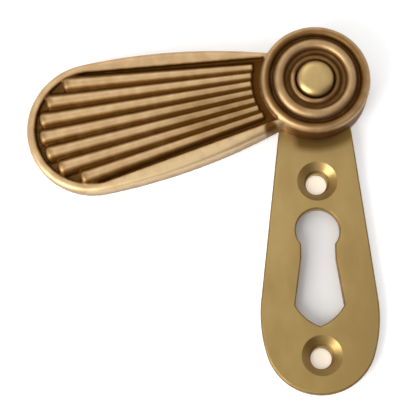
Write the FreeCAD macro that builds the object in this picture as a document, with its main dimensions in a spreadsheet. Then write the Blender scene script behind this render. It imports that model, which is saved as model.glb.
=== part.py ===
import FreeCAD, Part
import math
import os
import Sketcher
from FreeCAD import Placement, Rotation, Vector

# Reeded keyhole escutcheon with a swing cover, in millimetres.
# The row frame stands as the fitting does on a door: the front faces -Y, +Z is up,
# and the origin is on the back face of the plate, on the axis of the pivot rivet.
# Each piece is drawn lying on its back, with its front towards +Z and its tip towards -Y,
# and its Placement stands it up.

# Driving dimensions
SIZES = {
    "plate_thickness": 2.2,
    "plate_head_inset": 0.05,
    "plate_neck_half": 6.9,
    "plate_shoulder_radius": 26.0,
    "plate_shoulder_rise": 4.5,
    "plate_end_radius": 10.5,
    "plate_end_margin": 6.9,
    "plate_edge_bevel": 0.4,
    "upper_screw_drop": 19.1,
    "screw_hole_diameter": 4.0,
    "countersink_diameter": 7.7,
    "countersink_angle": 90.0,
    "upper_screw_to_keyhole": 5.05,
    "keyhole_head_radius": 4.15,
    "keyhole_waist_inset": 0.9,
    "keyhole_waist_drop": 5.4,
    "keyhole_skirt_flare": 1.35,
    "keyhole_skirt_height": 9.0,
    "keyhole_foot_height": 4.0,
    "keyhole_foot_bulge": 0.55,
    "keyhole_corner_round": 0.5,
    "keyhole_edge_bevel": 0.35,
    "keyhole_to_lower_screw": 5.9,
    "cover_gap": 0.15,
    "cover_overlap": 3.8,
    "cover_end_radius": 12.85,
    "cover_neck_half": 6.5,
    "cover_height": 5.8,
    "cover_slope": 3.2,
    "cover_edge_bevel": 0.7,
    "cover_wall": 1.6,
    "cover_web": 0.9,
    "field_depth": 0.9,
    "field_rim": 1.05,
    "field_side_gap": 0.8,
    "field_apex_rise": 36.0,
    "fan_apex_rise": 27.0,
    "reed_side_gap": 0.6,
    "reed_count": 7,
    "reed_fullness": 1.3,
    "reed_start_gap": 1.3,
    "reed_end_gap": 0.9,
    "boss_base_height": 4.7,
    "moat_gap": 0.45,
    "inner_ring_half": 0.45,
    "inner_ring_height": 0.65,
    "inner_ring_groove": 0.83,
    "middle_ring_half": 1.02,
    "middle_ring_height": 1.6,
    "middle_ring_groove": 0.9,
    "outer_ring_half": 0.94,
    "outer_ring_height": 1.2,
    "rivet_seat_height": 3.8,
    "rivet_head_radius": 3.55,
    "rivet_head_height": 2.8,
    "rivet_head_round": 1.1,
    "rivet_shank_radius": 2.0,
    "rivet_tail_radius": 2.7,
    "rivet_tail_depth": 0.6,
    "bore_clearance": 0.05,
    "head_clearance": 0.05,
    "swing_angle": 79.0,
}

# Places that follow from the sizes, as expressions that the sketches are bound to.
# Drops are measured from the pivot towards the tip, and the rings of the boss are
# built up from the rivet's head outwards.
MOAT_RADIUS = "sizes.rivet_head_radius + sizes.moat_gap"
MIDDLE_FOOT = f"{MOAT_RADIUS} + 2 * sizes.inner_ring_half + sizes.inner_ring_groove"
OUTER_FOOT = f"{MIDDLE_FOOT} + 2 * sizes.middle_ring_half + sizes.middle_ring_groove"
RING_FEET = {"outer_ring": OUTER_FOOT, "middle_ring": MIDDLE_FOOT, "inner_ring": MOAT_RADIUS}
BOSS_SEAT_RADIUS = f"{OUTER_FOOT} + sizes.outer_ring_half"
BOSS_RADIUS = f"{OUTER_FOOT} + 2 * sizes.outer_ring_half"
PLATE_HEAD_RADIUS = f"{BOSS_RADIUS} - sizes.plate_head_inset"
WAIST_HALF = "sizes.keyhole_head_radius - sizes.keyhole_waist_inset"
SKIRT_HALF = f"{WAIST_HALF} + sizes.keyhole_skirt_flare"
SKIRT_DROP = "sizes.keyhole_waist_drop + sizes.keyhole_skirt_height"
FOOT_DROP = f"{SKIRT_DROP} + sizes.keyhole_foot_height"
KEYHOLE_DROP = "sizes.upper_screw_drop + sizes.upper_screw_to_keyhole + sizes.keyhole_head_radius"
LOWER_SCREW_DROP = f"{KEYHOLE_DROP} + {FOOT_DROP} + sizes.keyhole_to_lower_screw"
PLATE_END_DROP = f"{LOWER_SCREW_DROP} + sizes.plate_end_margin - sizes.plate_end_radius"
COVER_END_DROP = f"{LOWER_SCREW_DROP} + sizes.cover_overlap - sizes.cover_end_radius"
FIELD_END_RADIUS = "sizes.cover_end_radius - sizes.field_rim"
FIELD_HALF_ANGLE = (f"asin(({FIELD_END_RADIUS} - sizes.field_side_gap)"
                    f" / (sizes.field_apex_rise + {COVER_END_DROP}))")
FAN_HALF_ANGLE = (f"asin(({FIELD_END_RADIUS} - sizes.field_side_gap - sizes.reed_side_gap)"
                  f" / (sizes.fan_apex_rise + {COVER_END_DROP}))")
REED_STEP = f"(2 * {FAN_HALF_ANGLE} / sizes.reed_count)"
HEAD_SEAT = "sizes.plate_thickness + sizes.cover_gap + sizes.rivet_seat_height + sizes.head_clearance"

# Flats that follow the half ellipse of a ring's section, and the quarter circles of the
# knob's edge and of a reed's nose
RING_FLATS = 4
KNOB_FLATS = 2
NOSE_FLATS = 2
X_AXIS = Vector(1, 0, 0)
Z_AXIS = Vector(0, 0, 1)
# Distance under which two places count as the same
NEAR = 1e-3
# Numbers that the sketcher gives to the origin with the level axis and to the upright axis,
# and to the points of a line or an arc
LEVEL_AXIS, VERTICAL = range(-1, -3, -1)
ROOT = LEVEL_AXIS
START, END, CENTRE = range(1, 4)
STANDING = Placement(Vector(0, 0, 0), Rotation(X_AXIS, 90))


def size(name):
    return SIZES[name]


def amount(expression):
    """Number that an expression on the sheet comes to."""
    value = FreeCAD.ActiveDocument.getObject("sizes").evalExpression(expression)
    return getattr(value, "Value", value)


def add_sheet(doc):
    """Put the driving dimensions in a spreadsheet, one named cell each."""
    sheet = doc.addObject("Spreadsheet::Sheet", "sizes")
    for row, (name, value) in enumerate(SIZES.items(), start=1):
        sheet.set(f"A{row}", name)
        sheet.set(f"B{row}", str(value))
        sheet.setAlias(f"B{row}", name)
    doc.recompute()
    return sheet


def add_body(doc, name):
    """Start a sub-part whose label names its file."""
    body = doc.addObject("PartDesign::Body", name)
    body.Label = name
    return body


def add_sketch(body, name, role="XY_Plane", offset=None):
    """Attach a new sketch to one of the body's own origin planes."""
    sketch = body.newObject("Sketcher::SketchObject", name)
    for plane in body.Origin.OriginFeatures:
        if plane.Role == role:
            sketch.AttachmentSupport = [(plane, "")]
    sketch.MapMode = "FlatFace"
    if offset is not None:
        sketch.AttachmentOffset = offset
    return sketch


def bind(sketch, label, expression, kind, *references):
    """Add a dimension to a sketch and bind it to the sheet."""
    number = sketch.addConstraint(Sketcher.Constraint(kind, *references, amount(expression)))
    sketch.renameConstraint(number, label)
    sketch.setExpression(f"Constraints.{label}", expression)


def constrain(sketch, kind, *references):
    sketch.addConstraint(Sketcher.Constraint(kind, *references))


def arc(centre, radius, start, end):
    """Counterclockwise arc between two points on its circle."""
    angles = [math.atan2(p.y - centre.y, p.x - centre.x) for p in (start, end)]
    return Part.ArcOfCircle(Part.Circle(centre, Z_AXIS, radius), angles[0], angles[1])


def mirrored(point):
    return Vector(-point.x, point.y, 0)


def tangent_point(start, centre, radius):
    """Where the flank from start touches the shoulder circle, on its outer side."""
    reach = start - centre
    turn = math.acos(radius / reach.Length)
    angle = math.atan2(reach.y, reach.x) - turn
    return centre + Vector(radius * math.cos(angle), radius * math.sin(angle), 0)


def draw_plate_outline(sketch):
    """Draw the plate's drop: head arc, straight flanks, shoulder arcs and end arc,
    all tangent below the neck."""
    head_radius = amount(PLATE_HEAD_RADIUS)
    neck_half = size("plate_neck_half")
    shoulder_radius = size("plate_shoulder_radius")
    end_radius = size("plate_end_radius")
    rise = size("plate_shoulder_rise")
    end_centre = Vector(0, -amount(PLATE_END_DROP), 0)
    inward = math.sqrt((shoulder_radius - end_radius) ** 2 - rise ** 2)
    shoulder_centre = end_centre + Vector(-inward, rise, 0)
    neck = Vector(neck_half, -math.sqrt(head_radius ** 2 - neck_half ** 2), 0)
    touch = tangent_point(neck, shoulder_centre, shoulder_radius)
    toward_end = (end_centre - shoulder_centre).normalize()
    join = shoulder_centre + toward_end * shoulder_radius
    head, flank_r, shoulder_r, end, shoulder_l, flank_l = sketch.addGeometry([
        arc(Vector(0, 0, 0), head_radius, neck, mirrored(neck)),
        Part.LineSegment(neck, touch),
        arc(shoulder_centre, shoulder_radius, join, touch),
        arc(end_centre, end_radius, mirrored(join), join),
        arc(mirrored(shoulder_centre), shoulder_radius, mirrored(touch), mirrored(join)),
        Part.LineSegment(mirrored(touch), mirrored(neck)),
    ], False)
    constrain(sketch, "Coincident", head, CENTRE, ROOT, START)
    constrain(sketch, "Coincident", head, START, flank_r, START)
    constrain(sketch, "Tangent", flank_r, END, shoulder_r, END)
    constrain(sketch, "Tangent", shoulder_r, START, end, END)
    constrain(sketch, "Tangent", end, START, shoulder_l, END)
    constrain(sketch, "Tangent", shoulder_l, START, flank_l, START)
    constrain(sketch, "Coincident", flank_l, END, head, END)
    constrain(sketch, "PointOnObject", end, CENTRE, VERTICAL)
    constrain(sketch, "Symmetric", head, START, head, END, VERTICAL)
    constrain(sketch, "Symmetric", shoulder_r, CENTRE, shoulder_l, CENTRE, VERTICAL)
    bind(sketch, "head_radius", PLATE_HEAD_RADIUS, "Radius", head)
    bind(sketch, "neck_half", "sizes.plate_neck_half", "DistanceX", ROOT, START, head, START)
    bind(sketch, "end_radius", "sizes.plate_end_radius", "Radius", end)
    bind(sketch, "end_drop", PLATE_END_DROP, "DistanceY", end, CENTRE, ROOT, START)
    bind(sketch, "shoulder_radius", "sizes.plate_shoulder_radius", "Radius", shoulder_r)
    bind(sketch, "shoulder_rise", "sizes.plate_shoulder_rise", "DistanceY", end, CENTRE, shoulder_r, CENTRE)


def draw_cover_outline(sketch, inset="0"):
    """Draw the cover's drop, or one further in: head arc, a long arc on each flank that
    reaches its widest beside the end arc's centre, and end arc."""
    head_radius = f"{OUTER_FOOT} - {inset}"
    neck_half = f"sizes.cover_neck_half - {inset}"
    end_radius = f"sizes.cover_end_radius - {inset}"
    neck_x = amount(neck_half)
    widest_x = amount(end_radius)
    neck = Vector(neck_x, -math.sqrt(amount(head_radius) ** 2 - neck_x ** 2), 0)
    end_centre = Vector(0, -amount(COVER_END_DROP), 0)
    widest = end_centre + Vector(widest_x, 0, 0)
    across = widest - neck
    flank_radius = (across.x ** 2 + across.y ** 2) / (2 * across.x)
    flank_centre = widest - Vector(flank_radius, 0, 0)
    head, flank_r, end, flank_l = sketch.addGeometry([
        arc(Vector(0, 0, 0), amount(head_radius), neck, mirrored(neck)),
        arc(flank_centre, flank_radius, widest, neck),
        arc(end_centre, widest_x, mirrored(widest), widest),
        arc(mirrored(flank_centre), flank_radius, mirrored(neck), mirrored(widest)),
    ], False)
    constrain(sketch, "Coincident", head, CENTRE, ROOT, START)
    constrain(sketch, "Coincident", head, START, flank_r, END)
    constrain(sketch, "Tangent", flank_r, START, end, END)
    constrain(sketch, "Tangent", end, START, flank_l, END)
    constrain(sketch, "Coincident", flank_l, START, head, END)
    constrain(sketch, "PointOnObject", end, CENTRE, VERTICAL)
    constrain(sketch, "Horizontal", flank_r, START, end, CENTRE)
    constrain(sketch, "Symmetric", head, START, head, END, VERTICAL)
    constrain(sketch, "Equal", flank_r, flank_l)
    bind(sketch, "head_radius", head_radius, "Radius", head)
    bind(sketch, "neck_half", neck_half, "DistanceX", ROOT, START, head, START)
    bind(sketch, "end_radius", end_radius, "Radius", end)
    bind(sketch, "end_drop", COVER_END_DROP, "DistanceY", end, CENTRE, ROOT, START)


def draw_keyhole(sketch):
    """Draw the keyhole: a round head, a waist, a flared skirt and a pointed foot."""
    top = -amount(KEYHOLE_DROP)
    head_radius = size("keyhole_head_radius")
    waist = Vector(amount(WAIST_HALF), top - size("keyhole_waist_drop"), 0)
    skirt = Vector(amount(SKIRT_HALF), top - amount(SKIRT_DROP), 0)
    tip = Vector(0, top - amount(FOOT_DROP), 0)
    centre = Vector(0, top, 0)
    neck = Vector(waist.x, top - math.sqrt(head_radius ** 2 - waist.x ** 2), 0)
    across = tip - skirt
    outward = Vector(-across.y, across.x, 0).normalize()
    middle = (tip + skirt) * 0.5 + outward * size("keyhole_foot_bulge")
    foot_r = Part.Arc(tip, middle, skirt)
    foot_l = Part.Arc(mirrored(skirt), mirrored(middle), tip)
    head, waist_r, skirt_r, foot_r, foot_l, skirt_l, waist_l = sketch.addGeometry([
        arc(centre, head_radius, neck, mirrored(neck)),
        Part.LineSegment(neck, waist),
        Part.LineSegment(waist, skirt),
        foot_r,
        foot_l,
        Part.LineSegment(mirrored(skirt), mirrored(waist)),
        Part.LineSegment(mirrored(waist), mirrored(neck)),
    ], False)
    constrain(sketch, "PointOnObject", head, CENTRE, VERTICAL)
    constrain(sketch, "Coincident", head, START, waist_r, START)
    constrain(sketch, "Coincident", waist_r, END, skirt_r, START)
    constrain(sketch, "Coincident", skirt_r, END, foot_r, END)
    constrain(sketch, "Coincident", foot_r, START, foot_l, END)
    constrain(sketch, "PointOnObject", foot_r, START, VERTICAL)
    constrain(sketch, "Coincident", foot_l, START, skirt_l, START)
    constrain(sketch, "Coincident", skirt_l, END, waist_l, START)
    constrain(sketch, "Coincident", waist_l, END, head, END)
    constrain(sketch, "Vertical", waist_r)
    constrain(sketch, "Symmetric", waist_r, END, waist_l, START, VERTICAL)
    constrain(sketch, "Symmetric", skirt_r, END, skirt_l, START, VERTICAL)
    constrain(sketch, "Symmetric", head, START, head, END, VERTICAL)
    constrain(sketch, "Equal", foot_r, foot_l)
    bind(sketch, "head_drop", KEYHOLE_DROP, "DistanceY", head, CENTRE, ROOT, START)
    bind(sketch, "head_radius", "sizes.keyhole_head_radius", "Radius", head)
    bind(sketch, "waist_half", WAIST_HALF, "DistanceX", ROOT, START, waist_r, END)
    bind(sketch, "waist_drop", "sizes.keyhole_waist_drop", "DistanceY", waist_r, END, head, CENTRE)
    bind(sketch, "skirt_half", SKIRT_HALF, "DistanceX", ROOT, START, skirt_r, END)
    bind(sketch, "skirt_drop", SKIRT_DROP, "DistanceY", skirt_r, END, head, CENTRE)
    bind(sketch, "foot_drop", FOOT_DROP, "DistanceY", foot_r, START, head, CENTRE)
    chord = f"(sizes.keyhole_foot_height^2 + ({SKIRT_HALF})^2)"
    bulge = "sizes.keyhole_foot_bulge"
    bind(sketch, "foot_radius", f"{chord} / 8 / {bulge} + {bulge} / 2", "Radius", foot_r)


def pad(body, name, sketch, length):
    feature = body.newObject("PartDesign::Pad", name)
    feature.Profile = sketch
    feature.setExpression("Length", length)
    sketch.Visibility = False
    return feature


def pocket(body, name, sketch, length, upward):
    """Cut a sketch through the body, upward along its normal or downward against it."""
    feature = body.newObject("PartDesign::Pocket", name)
    feature.Profile = sketch
    feature.Reversed = upward
    feature.setExpression("Length", length)
    return feature


def dress_edges(body, name, kind, base, amount_name, wanted):
    """Fillet or chamfer those edges of the base feature that pass the test."""
    names = [f"Edge{i}" for i, edge in enumerate(base.Shape.Edges, start=1) if wanted(edge)]
    feature = body.newObject(f"PartDesign::{kind}", name)
    feature.Base = (base, names)
    feature.setExpression("Radius" if kind == "Fillet" else "Size", f"sizes.{amount_name}")
    return feature


def ends(edge):
    return [vertex.Point for vertex in edge.Vertexes]


def build_backplate(doc):
    """Flat plate with the keyhole, two countersunk screw holes and the rivet's hole."""
    body = add_body(doc, "backplate")
    outline = add_sketch(body, "plate_outline")
    draw_plate_outline(outline)
    blank = pad(body, "plate_blank", outline, "sizes.plate_thickness")
    doc.recompute()
    front = size("plate_thickness")
    on_front = lambda edge: all(abs(p.z - front) < NEAR for p in ends(edge))
    dress_edges(body, "plate_edge", "Chamfer", blank, "plate_edge_bevel", on_front)
    doc.recompute()

    keyhole = add_sketch(body, "keyhole_outline")
    draw_keyhole(keyhole)
    keyway = pocket(body, "keyhole", keyhole, "sizes.plate_thickness", True)
    doc.recompute()
    drop = amount(KEYHOLE_DROP)
    keyhole_top = size("keyhole_head_radius") - drop + NEAR
    keyhole_foot = -drop - amount(FOOT_DROP) - NEAR
    widest = max(size("keyhole_head_radius"), amount(SKIRT_HALF)) + NEAR
    in_keyhole = lambda edge: all(keyhole_foot < p.y < keyhole_top and abs(p.x) < widest for p in ends(edge))
    upright = lambda edge: abs(ends(edge)[0].z - ends(edge)[-1].z) > front / 2
    key_corner = lambda edge: in_keyhole(edge) and upright(edge)
    cornered = dress_edges(body, "keyhole_corners", "Fillet", keyway, "keyhole_corner_round", key_corner)
    doc.recompute()
    key_edge = lambda edge: in_keyhole(edge) and on_front(edge)
    dress_edges(body, "keyhole_edge", "Chamfer", cornered, "keyhole_edge_bevel", key_edge)
    doc.recompute()

    front_plane = Placement(Vector(0, 0, front), Rotation())
    centres = add_sketch(body, "screw_centres", offset=front_plane)
    centres.setExpression(".AttachmentOffset.Base.z", "sizes.plate_thickness")
    hole_radius = size("screw_hole_diameter") / 2
    upper, lower = centres.addGeometry([
        Part.Circle(Vector(0, -size("upper_screw_drop"), 0), Z_AXIS, hole_radius),
        Part.Circle(Vector(0, -amount(LOWER_SCREW_DROP), 0), Z_AXIS, hole_radius),
    ], False)
    constrain(centres, "PointOnObject", upper, CENTRE, VERTICAL)
    constrain(centres, "PointOnObject", lower, CENTRE, VERTICAL)
    constrain(centres, "Equal", upper, lower)
    bind(centres, "hole_radius", "sizes.screw_hole_diameter / 2", "Radius", upper)
    bind(centres, "upper_drop", "sizes.upper_screw_drop", "DistanceY", upper, CENTRE, ROOT, START)
    bind(centres, "lower_drop", LOWER_SCREW_DROP, "DistanceY", lower, CENTRE, ROOT, START)
    doc.recompute()
    holes = body.newObject("PartDesign::Hole", "screw_holes")
    holes.Profile = centres
    doc.recompute()
    holes.DepthType = "ThroughAll"
    holes.HoleCutType = "Countersink"
    holes.HoleCutCustomValues = True
    holes.setExpression("Diameter", "sizes.screw_hole_diameter")
    holes.setExpression("HoleCutDiameter", "sizes.countersink_diameter")
    holes.setExpression("HoleCutCountersinkAngle", "sizes.countersink_angle")
    doc.recompute()

    seat = add_sketch(body, "rivet_seat", role="XZ_Plane")
    draw_shank_hole(seat)
    cut = body.newObject("PartDesign::Groove", "rivet_hole")
    cut.Profile = seat
    cut.ReferenceAxis = (seat, ["V_Axis"])
    cut.Angle = 360
    body.Tip = cut
    body.Placement = STANDING
    return body


def draw_shank_hole(sketch):
    """Half section of the rivet's hole, with its cone at the back for the peened tail."""
    shank = size("rivet_shank_radius")
    tail = size("rivet_tail_radius")
    depth = size("rivet_tail_depth")
    front = size("plate_thickness")
    corners = [(0, 0), (tail, 0), (shank, depth), (shank, front), (0, front)]
    lines = draw_polygon(sketch, corners)
    constrain(sketch, "Coincident", lines[0], START, ROOT, START)
    constrain(sketch, "Horizontal", lines[0])
    constrain(sketch, "Vertical", lines[2])
    constrain(sketch, "Horizontal", lines[3])
    constrain(sketch, "Vertical", lines[4])
    bind(sketch, "tail_radius", "sizes.rivet_tail_radius", "DistanceX", ROOT, START, lines[0], END)
    bind(sketch, "shank_radius", "sizes.rivet_shank_radius", "DistanceX", ROOT, START, lines[1], END)
    bind(sketch, "tail_depth", "sizes.rivet_tail_depth", "DistanceY", ROOT, START, lines[1], END)
    bind(sketch, "front", "sizes.plate_thickness", "DistanceY", ROOT, START, lines[2], END)


def draw_polygon(sketch, corners):
    """Closed polygon through the corners, joined end to start."""
    points = [Vector(x, y, 0) for x, y in corners]
    sides = [Part.LineSegment(a, b) for a, b in zip(points, points[1:] + points[:1])]
    lines = sketch.addGeometry(sides, False)
    for first, second in zip(lines, lines[1:] + lines[:1]):
        constrain(sketch, "Coincident", first, END, second, START)
    return lines


def chord_points(centre, radius, last_angle, count):
    """Points that divide an arc of the circle evenly, from its +X side to the last angle."""
    turns = [math.radians(last_angle * step / count) for step in range(count + 1)]
    return [(centre[0] + radius * math.cos(turn), centre[1] + radius * math.sin(turn)) for turn in turns]


def hold_chords(sketch, lines, centre, radius):
    """Hold a run of lines to a construction circle, as equal chords."""
    circle = sketch.addGeometry(Part.Circle(Vector(*centre, 0), Z_AXIS, radius), True)
    constrain(sketch, "PointOnObject", lines[0], START, circle)
    for line in lines:
        constrain(sketch, "PointOnObject", line, END, circle)
    for line in lines[1:]:
        constrain(sketch, "Equal", lines[0], line)
    constrain(sketch, "Horizontal", lines[0], START, circle, CENTRE)
    return circle


def field_plane(depth):
    """Plane along the sloping front of the cover, at a depth below the rim's top."""
    return Placement(Vector(0, 0, size("cover_height") - depth), Rotation(X_AXIS, size("cover_slope")))


def draw_field(sketch):
    """Sector that the reeds fill: two rays from an apex of its own and an arc inside the rim."""
    half_angle = math.radians(amount(FIELD_HALF_ANGLE))
    apex = Vector(0, size("field_apex_rise"), 0)
    start_y = -amount(OUTER_FOOT)
    end_centre = Vector(0, -amount(COVER_END_DROP), 0)
    ray = Vector(math.sin(half_angle), -math.cos(half_angle), 0)
    far = apex + ray * amount(ray_reach("field", FIELD_HALF_ANGLE, COVER_END_DROP, FIELD_END_RADIUS))
    near = Vector((apex.y - start_y) * math.tan(half_angle), start_y, 0)
    ray_r, end, ray_l, top = sketch.addGeometry([
        Part.LineSegment(near, far),
        arc(end_centre, amount(FIELD_END_RADIUS), mirrored(far), far),
        Part.LineSegment(mirrored(far), mirrored(near)),
        Part.LineSegment(mirrored(near), near),
    ], False)
    constrain(sketch, "Coincident", ray_r, END, end, END)
    constrain(sketch, "Coincident", end, START, ray_l, START)
    constrain(sketch, "Coincident", ray_l, END, top, START)
    constrain(sketch, "Coincident", top, END, ray_r, START)
    constrain(sketch, "Symmetric", ray_r, START, ray_l, END, VERTICAL)
    constrain(sketch, "Symmetric", ray_r, END, ray_l, START, VERTICAL)
    bind(sketch, "end_radius", FIELD_END_RADIUS, "Radius", end)
    bind(sketch, "end_drop", COVER_END_DROP, "DistanceY", end, CENTRE, ROOT, START)
    bind(sketch, "start_drop", OUTER_FOOT, "DistanceY", ray_r, START, ROOT, START)
    bind(sketch, "start_half", f"(sizes.field_apex_rise + {OUTER_FOOT}) * tan({FIELD_HALF_ANGLE})",
         "DistanceX", ROOT, START, ray_r, START)
    apex_point = sketch.addGeometry(Part.Point(apex), True)
    constrain(sketch, "PointOnObject", apex_point, START, VERTICAL)
    constrain(sketch, "PointOnObject", apex_point, START, ray_r)
    bind(sketch, "apex_rise", "sizes.field_apex_rise", "DistanceY", ROOT, START, apex_point, START)


def ray_reach(apex_name, turn, centre_drop, radius):
    """Expression for the way along a ray, from the fan's or the field's apex to a circle on the axis."""
    rise = f"(sizes.{apex_name}_apex_rise + {centre_drop})"
    return f"{rise} * cos({turn}) + sqrt(({radius})^2 - ({rise} * sin({turn}))^2)"


def add_reed(body, index):
    """One reed: half a cone with a blunt nose, along its own ray of the fan."""
    place = index - (size("reed_count") - 1) / 2
    turn = f"({place} * {REED_STEP})"
    near_reach = ray_reach("fan", turn, "0", f"{BOSS_RADIUS} + sizes.reed_start_gap")
    far_reach = ray_reach("fan", turn, COVER_END_DROP, f"{FIELD_END_RADIUS} - sizes.reed_end_gap")
    slope = f"(sizes.reed_fullness * tan({REED_STEP}) / 2)"
    start_radius = f"({near_reach}) * {slope}"
    nose_radius = f"({far_reach}) * {slope} / (1 + {slope})"
    near = amount(near_reach)
    far = amount(far_reach)
    nose = amount(nose_radius)
    apex = Placement(Vector(0, size("fan_apex_rise"), 0), Rotation(Z_AXIS, amount(turn)))
    sketch = add_sketch(body, f"reed_profile_{index + 1}", offset=field_plane(size("field_depth")) * apex)
    centre = (0, nose - far)
    corners = [(0, -near), (amount(start_radius), -near)] + chord_points(centre, nose, -90, NOSE_FLATS)
    lines = draw_polygon(sketch, corners)
    circle = hold_chords(sketch, lines[2:-1], centre, nose)
    constrain(sketch, "Horizontal", lines[0])
    constrain(sketch, "PointOnObject", lines[0], START, VERTICAL)
    constrain(sketch, "PointOnObject", lines[-1], START, VERTICAL)
    constrain(sketch, "PointOnObject", circle, CENTRE, VERTICAL)
    bind(sketch, "near", near_reach, "DistanceY", lines[0], START, ROOT, START)
    bind(sketch, "far", far_reach, "DistanceY", lines[-1], START, ROOT, START)
    bind(sketch, "start_radius", start_radius, "DistanceX", ROOT, START, lines[0], END)
    bind(sketch, "nose_radius", nose_radius, "Radius", circle)
    feature = body.newObject("PartDesign::Revolution", f"reed_{index + 1}")
    feature.Profile = sketch
    feature.ReferenceAxis = (sketch, ["V_Axis"])
    feature.Angle = 180
    feature.Reversed = True
    return feature


def draw_boss(sketch):
    """Half section of the ringed boss, from the rivet's bore out to the outer ring.
    The section of each ring is half an ellipse in flats."""
    bore_radius = "sizes.rivet_shank_radius + sizes.bore_clearance"
    bore = amount(bore_radius)
    seat = size("rivet_seat_height")
    base = size("boss_base_height")
    corners = [(bore, seat), (bore, 0), (amount(BOSS_RADIUS), 0)]
    places = {}
    for ring, foot in RING_FEET.items():
        for step in range(RING_FLATS + 1):
            turn = 180 * step / RING_FLATS
            across = f"{foot} + sizes.{ring}_half * (1 + cos({turn}))"
            rise = f"sizes.boss_base_height + sizes.{ring}_height * sin({turn})"
            places[len(corners)] = (f"{ring}_{step}", across, rise)
            corners.append((amount(across), amount(rise)))
    corners.append((corners[-1][0], seat))
    lines = draw_polygon(sketch, corners)
    constrain(sketch, "Vertical", lines[0])
    constrain(sketch, "PointOnObject", lines[1], START, LEVEL_AXIS)
    constrain(sketch, "Horizontal", lines[1])
    constrain(sketch, "Vertical", lines[2])
    constrain(sketch, "Vertical", lines[-2])
    constrain(sketch, "Horizontal", lines[-1])
    bind(sketch, "bore_radius", bore_radius, "DistanceX", ROOT, START, lines[0], END)
    bind(sketch, "seat_height", "sizes.rivet_seat_height", "DistanceY", ROOT, START, lines[0], START)
    for number, (label, across, rise) in places.items():
        bind(sketch, f"{label}_radius", across, "DistanceX", ROOT, START, lines[number], START)
        bind(sketch, f"{label}_height", rise, "DistanceY", ROOT, START, lines[number], START)


def build_cover(doc):
    """Swing cover cast in one piece: rim and hollow back, fan of reeds, ringed boss."""
    body = add_body(doc, "swing_cover")
    outline = add_sketch(body, "cover_outline", offset=field_plane(0.0))
    draw_cover_outline(outline)
    blank = pad(body, "cover_blank", outline, "sizes.cover_height * 2")
    blank.Reversed = True
    doc.recompute()

    slope = math.tan(math.radians(size("cover_slope")))
    head = amount(BOSS_RADIUS)
    top_at = lambda p: size("cover_height") + p.y * slope
    on_top = lambda edge: all(abs(p.z - top_at(p)) < NEAR for p in ends(edge))
    off_head = lambda edge: any(math.hypot(p.x, p.y) > head for p in ends(edge))
    rim_edge = lambda edge: on_top(edge) and off_head(edge)
    dress_edges(body, "rim_edge", "Chamfer", blank, "cover_edge_bevel", rim_edge)
    doc.recompute()

    back_sketch = add_sketch(body, "back_outline")
    reach = 2 * amount(COVER_END_DROP)
    draw_polygon(back_sketch, [(-reach, -reach), (reach, -reach), (reach, reach), (-reach, reach)])
    pocket(body, "flat_back", back_sketch, "sizes.cover_height * 3", False)
    doc.recompute()

    field_sketch = add_sketch(body, "field_outline", offset=field_plane(size("field_depth")))
    draw_field(field_sketch)
    pocket(body, "field", field_sketch, "sizes.field_depth * 2", True)
    doc.recompute()

    ceiling = field_plane(size("field_depth") + size("cover_web"))
    hollow_sketch = add_sketch(body, "hollow_outline", offset=ceiling)
    draw_cover_outline(hollow_sketch, inset="sizes.cover_wall")
    pocket(body, "hollow_back", hollow_sketch, "sizes.cover_height * 2", False)
    doc.recompute()

    for index in range(int(size("reed_count"))):
        add_reed(body, index)
        doc.recompute()

    seat_sketch = add_sketch(body, "boss_seat_outline")
    seat_edge = Part.Circle(Vector(0, 0, 0), Z_AXIS, amount(BOSS_SEAT_RADIUS))
    seat_circle = seat_sketch.addGeometry(seat_edge, False)
    constrain(seat_sketch, "Coincident", seat_circle, CENTRE, ROOT, START)
    bind(seat_sketch, "seat_radius", BOSS_SEAT_RADIUS, "Radius", seat_circle)
    pocket(body, "boss_seat", seat_sketch, "sizes.cover_height * 2", True)
    doc.recompute()

    boss_sketch = add_sketch(body, "boss_section", role="XZ_Plane")
    draw_boss(boss_sketch)
    boss = body.newObject("PartDesign::Revolution", "boss")
    boss.Profile = boss_sketch
    boss.ReferenceAxis = (boss_sketch, ["V_Axis"])
    boss.Angle = 360
    body.Tip = boss
    lift = Vector(0, 0, size("plate_thickness") + size("cover_gap"))
    body.Placement = STANDING * Placement(lift, Rotation(Z_AXIS, -size("swing_angle")))
    return body


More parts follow.
